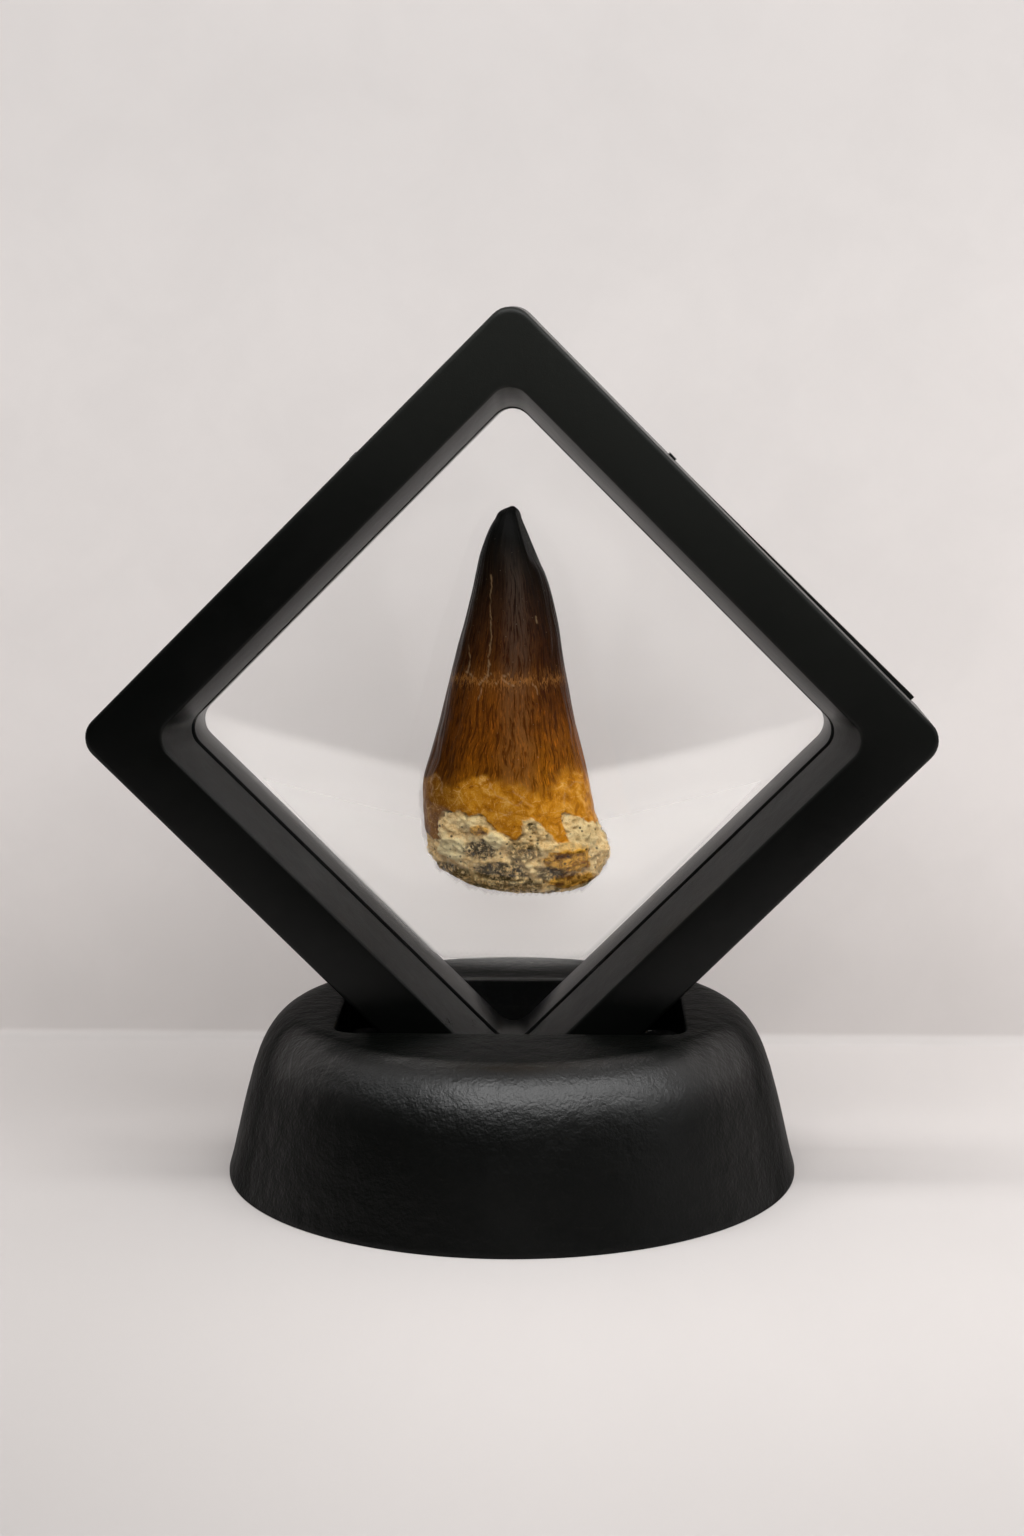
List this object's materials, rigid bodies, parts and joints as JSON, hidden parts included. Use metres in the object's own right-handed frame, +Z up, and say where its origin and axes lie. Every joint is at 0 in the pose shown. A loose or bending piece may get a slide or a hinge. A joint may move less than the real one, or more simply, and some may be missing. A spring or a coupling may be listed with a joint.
{
  "type": "fossil mosasaur tooth in a floating display frame on a round stand",
  "caption": "Fossil marine reptile tooth with a crust of matrix, held between clear films in a black square frame that stands on its corner in a round moulded base.",
  "frame": {"origin": "centre of the base's underside, on the surface it stands on", "axes": "+Z up, -Y the side the frame faces, +X to the right seen from the front"},
  "size_m": [0.1244, 0.086, 0.1293],
  "materials": {
    "fossil": "glossy brown-black enamel over a matt granular crust",
    "frame_plastic": "fine satin moulded black",
    "clear_film": "thin clear stretched film",
    "base_plastic": "satin black with a fine moulded grain"
  },
  "bodies": {
    "root": {"tooth": "fossil", "front_frame": "frame_plastic", "rear_frame": "frame_plastic", "front_film": "clear_film", "rear_film": "clear_film", "base": "base_plastic"}
  },
  "joints": []
}
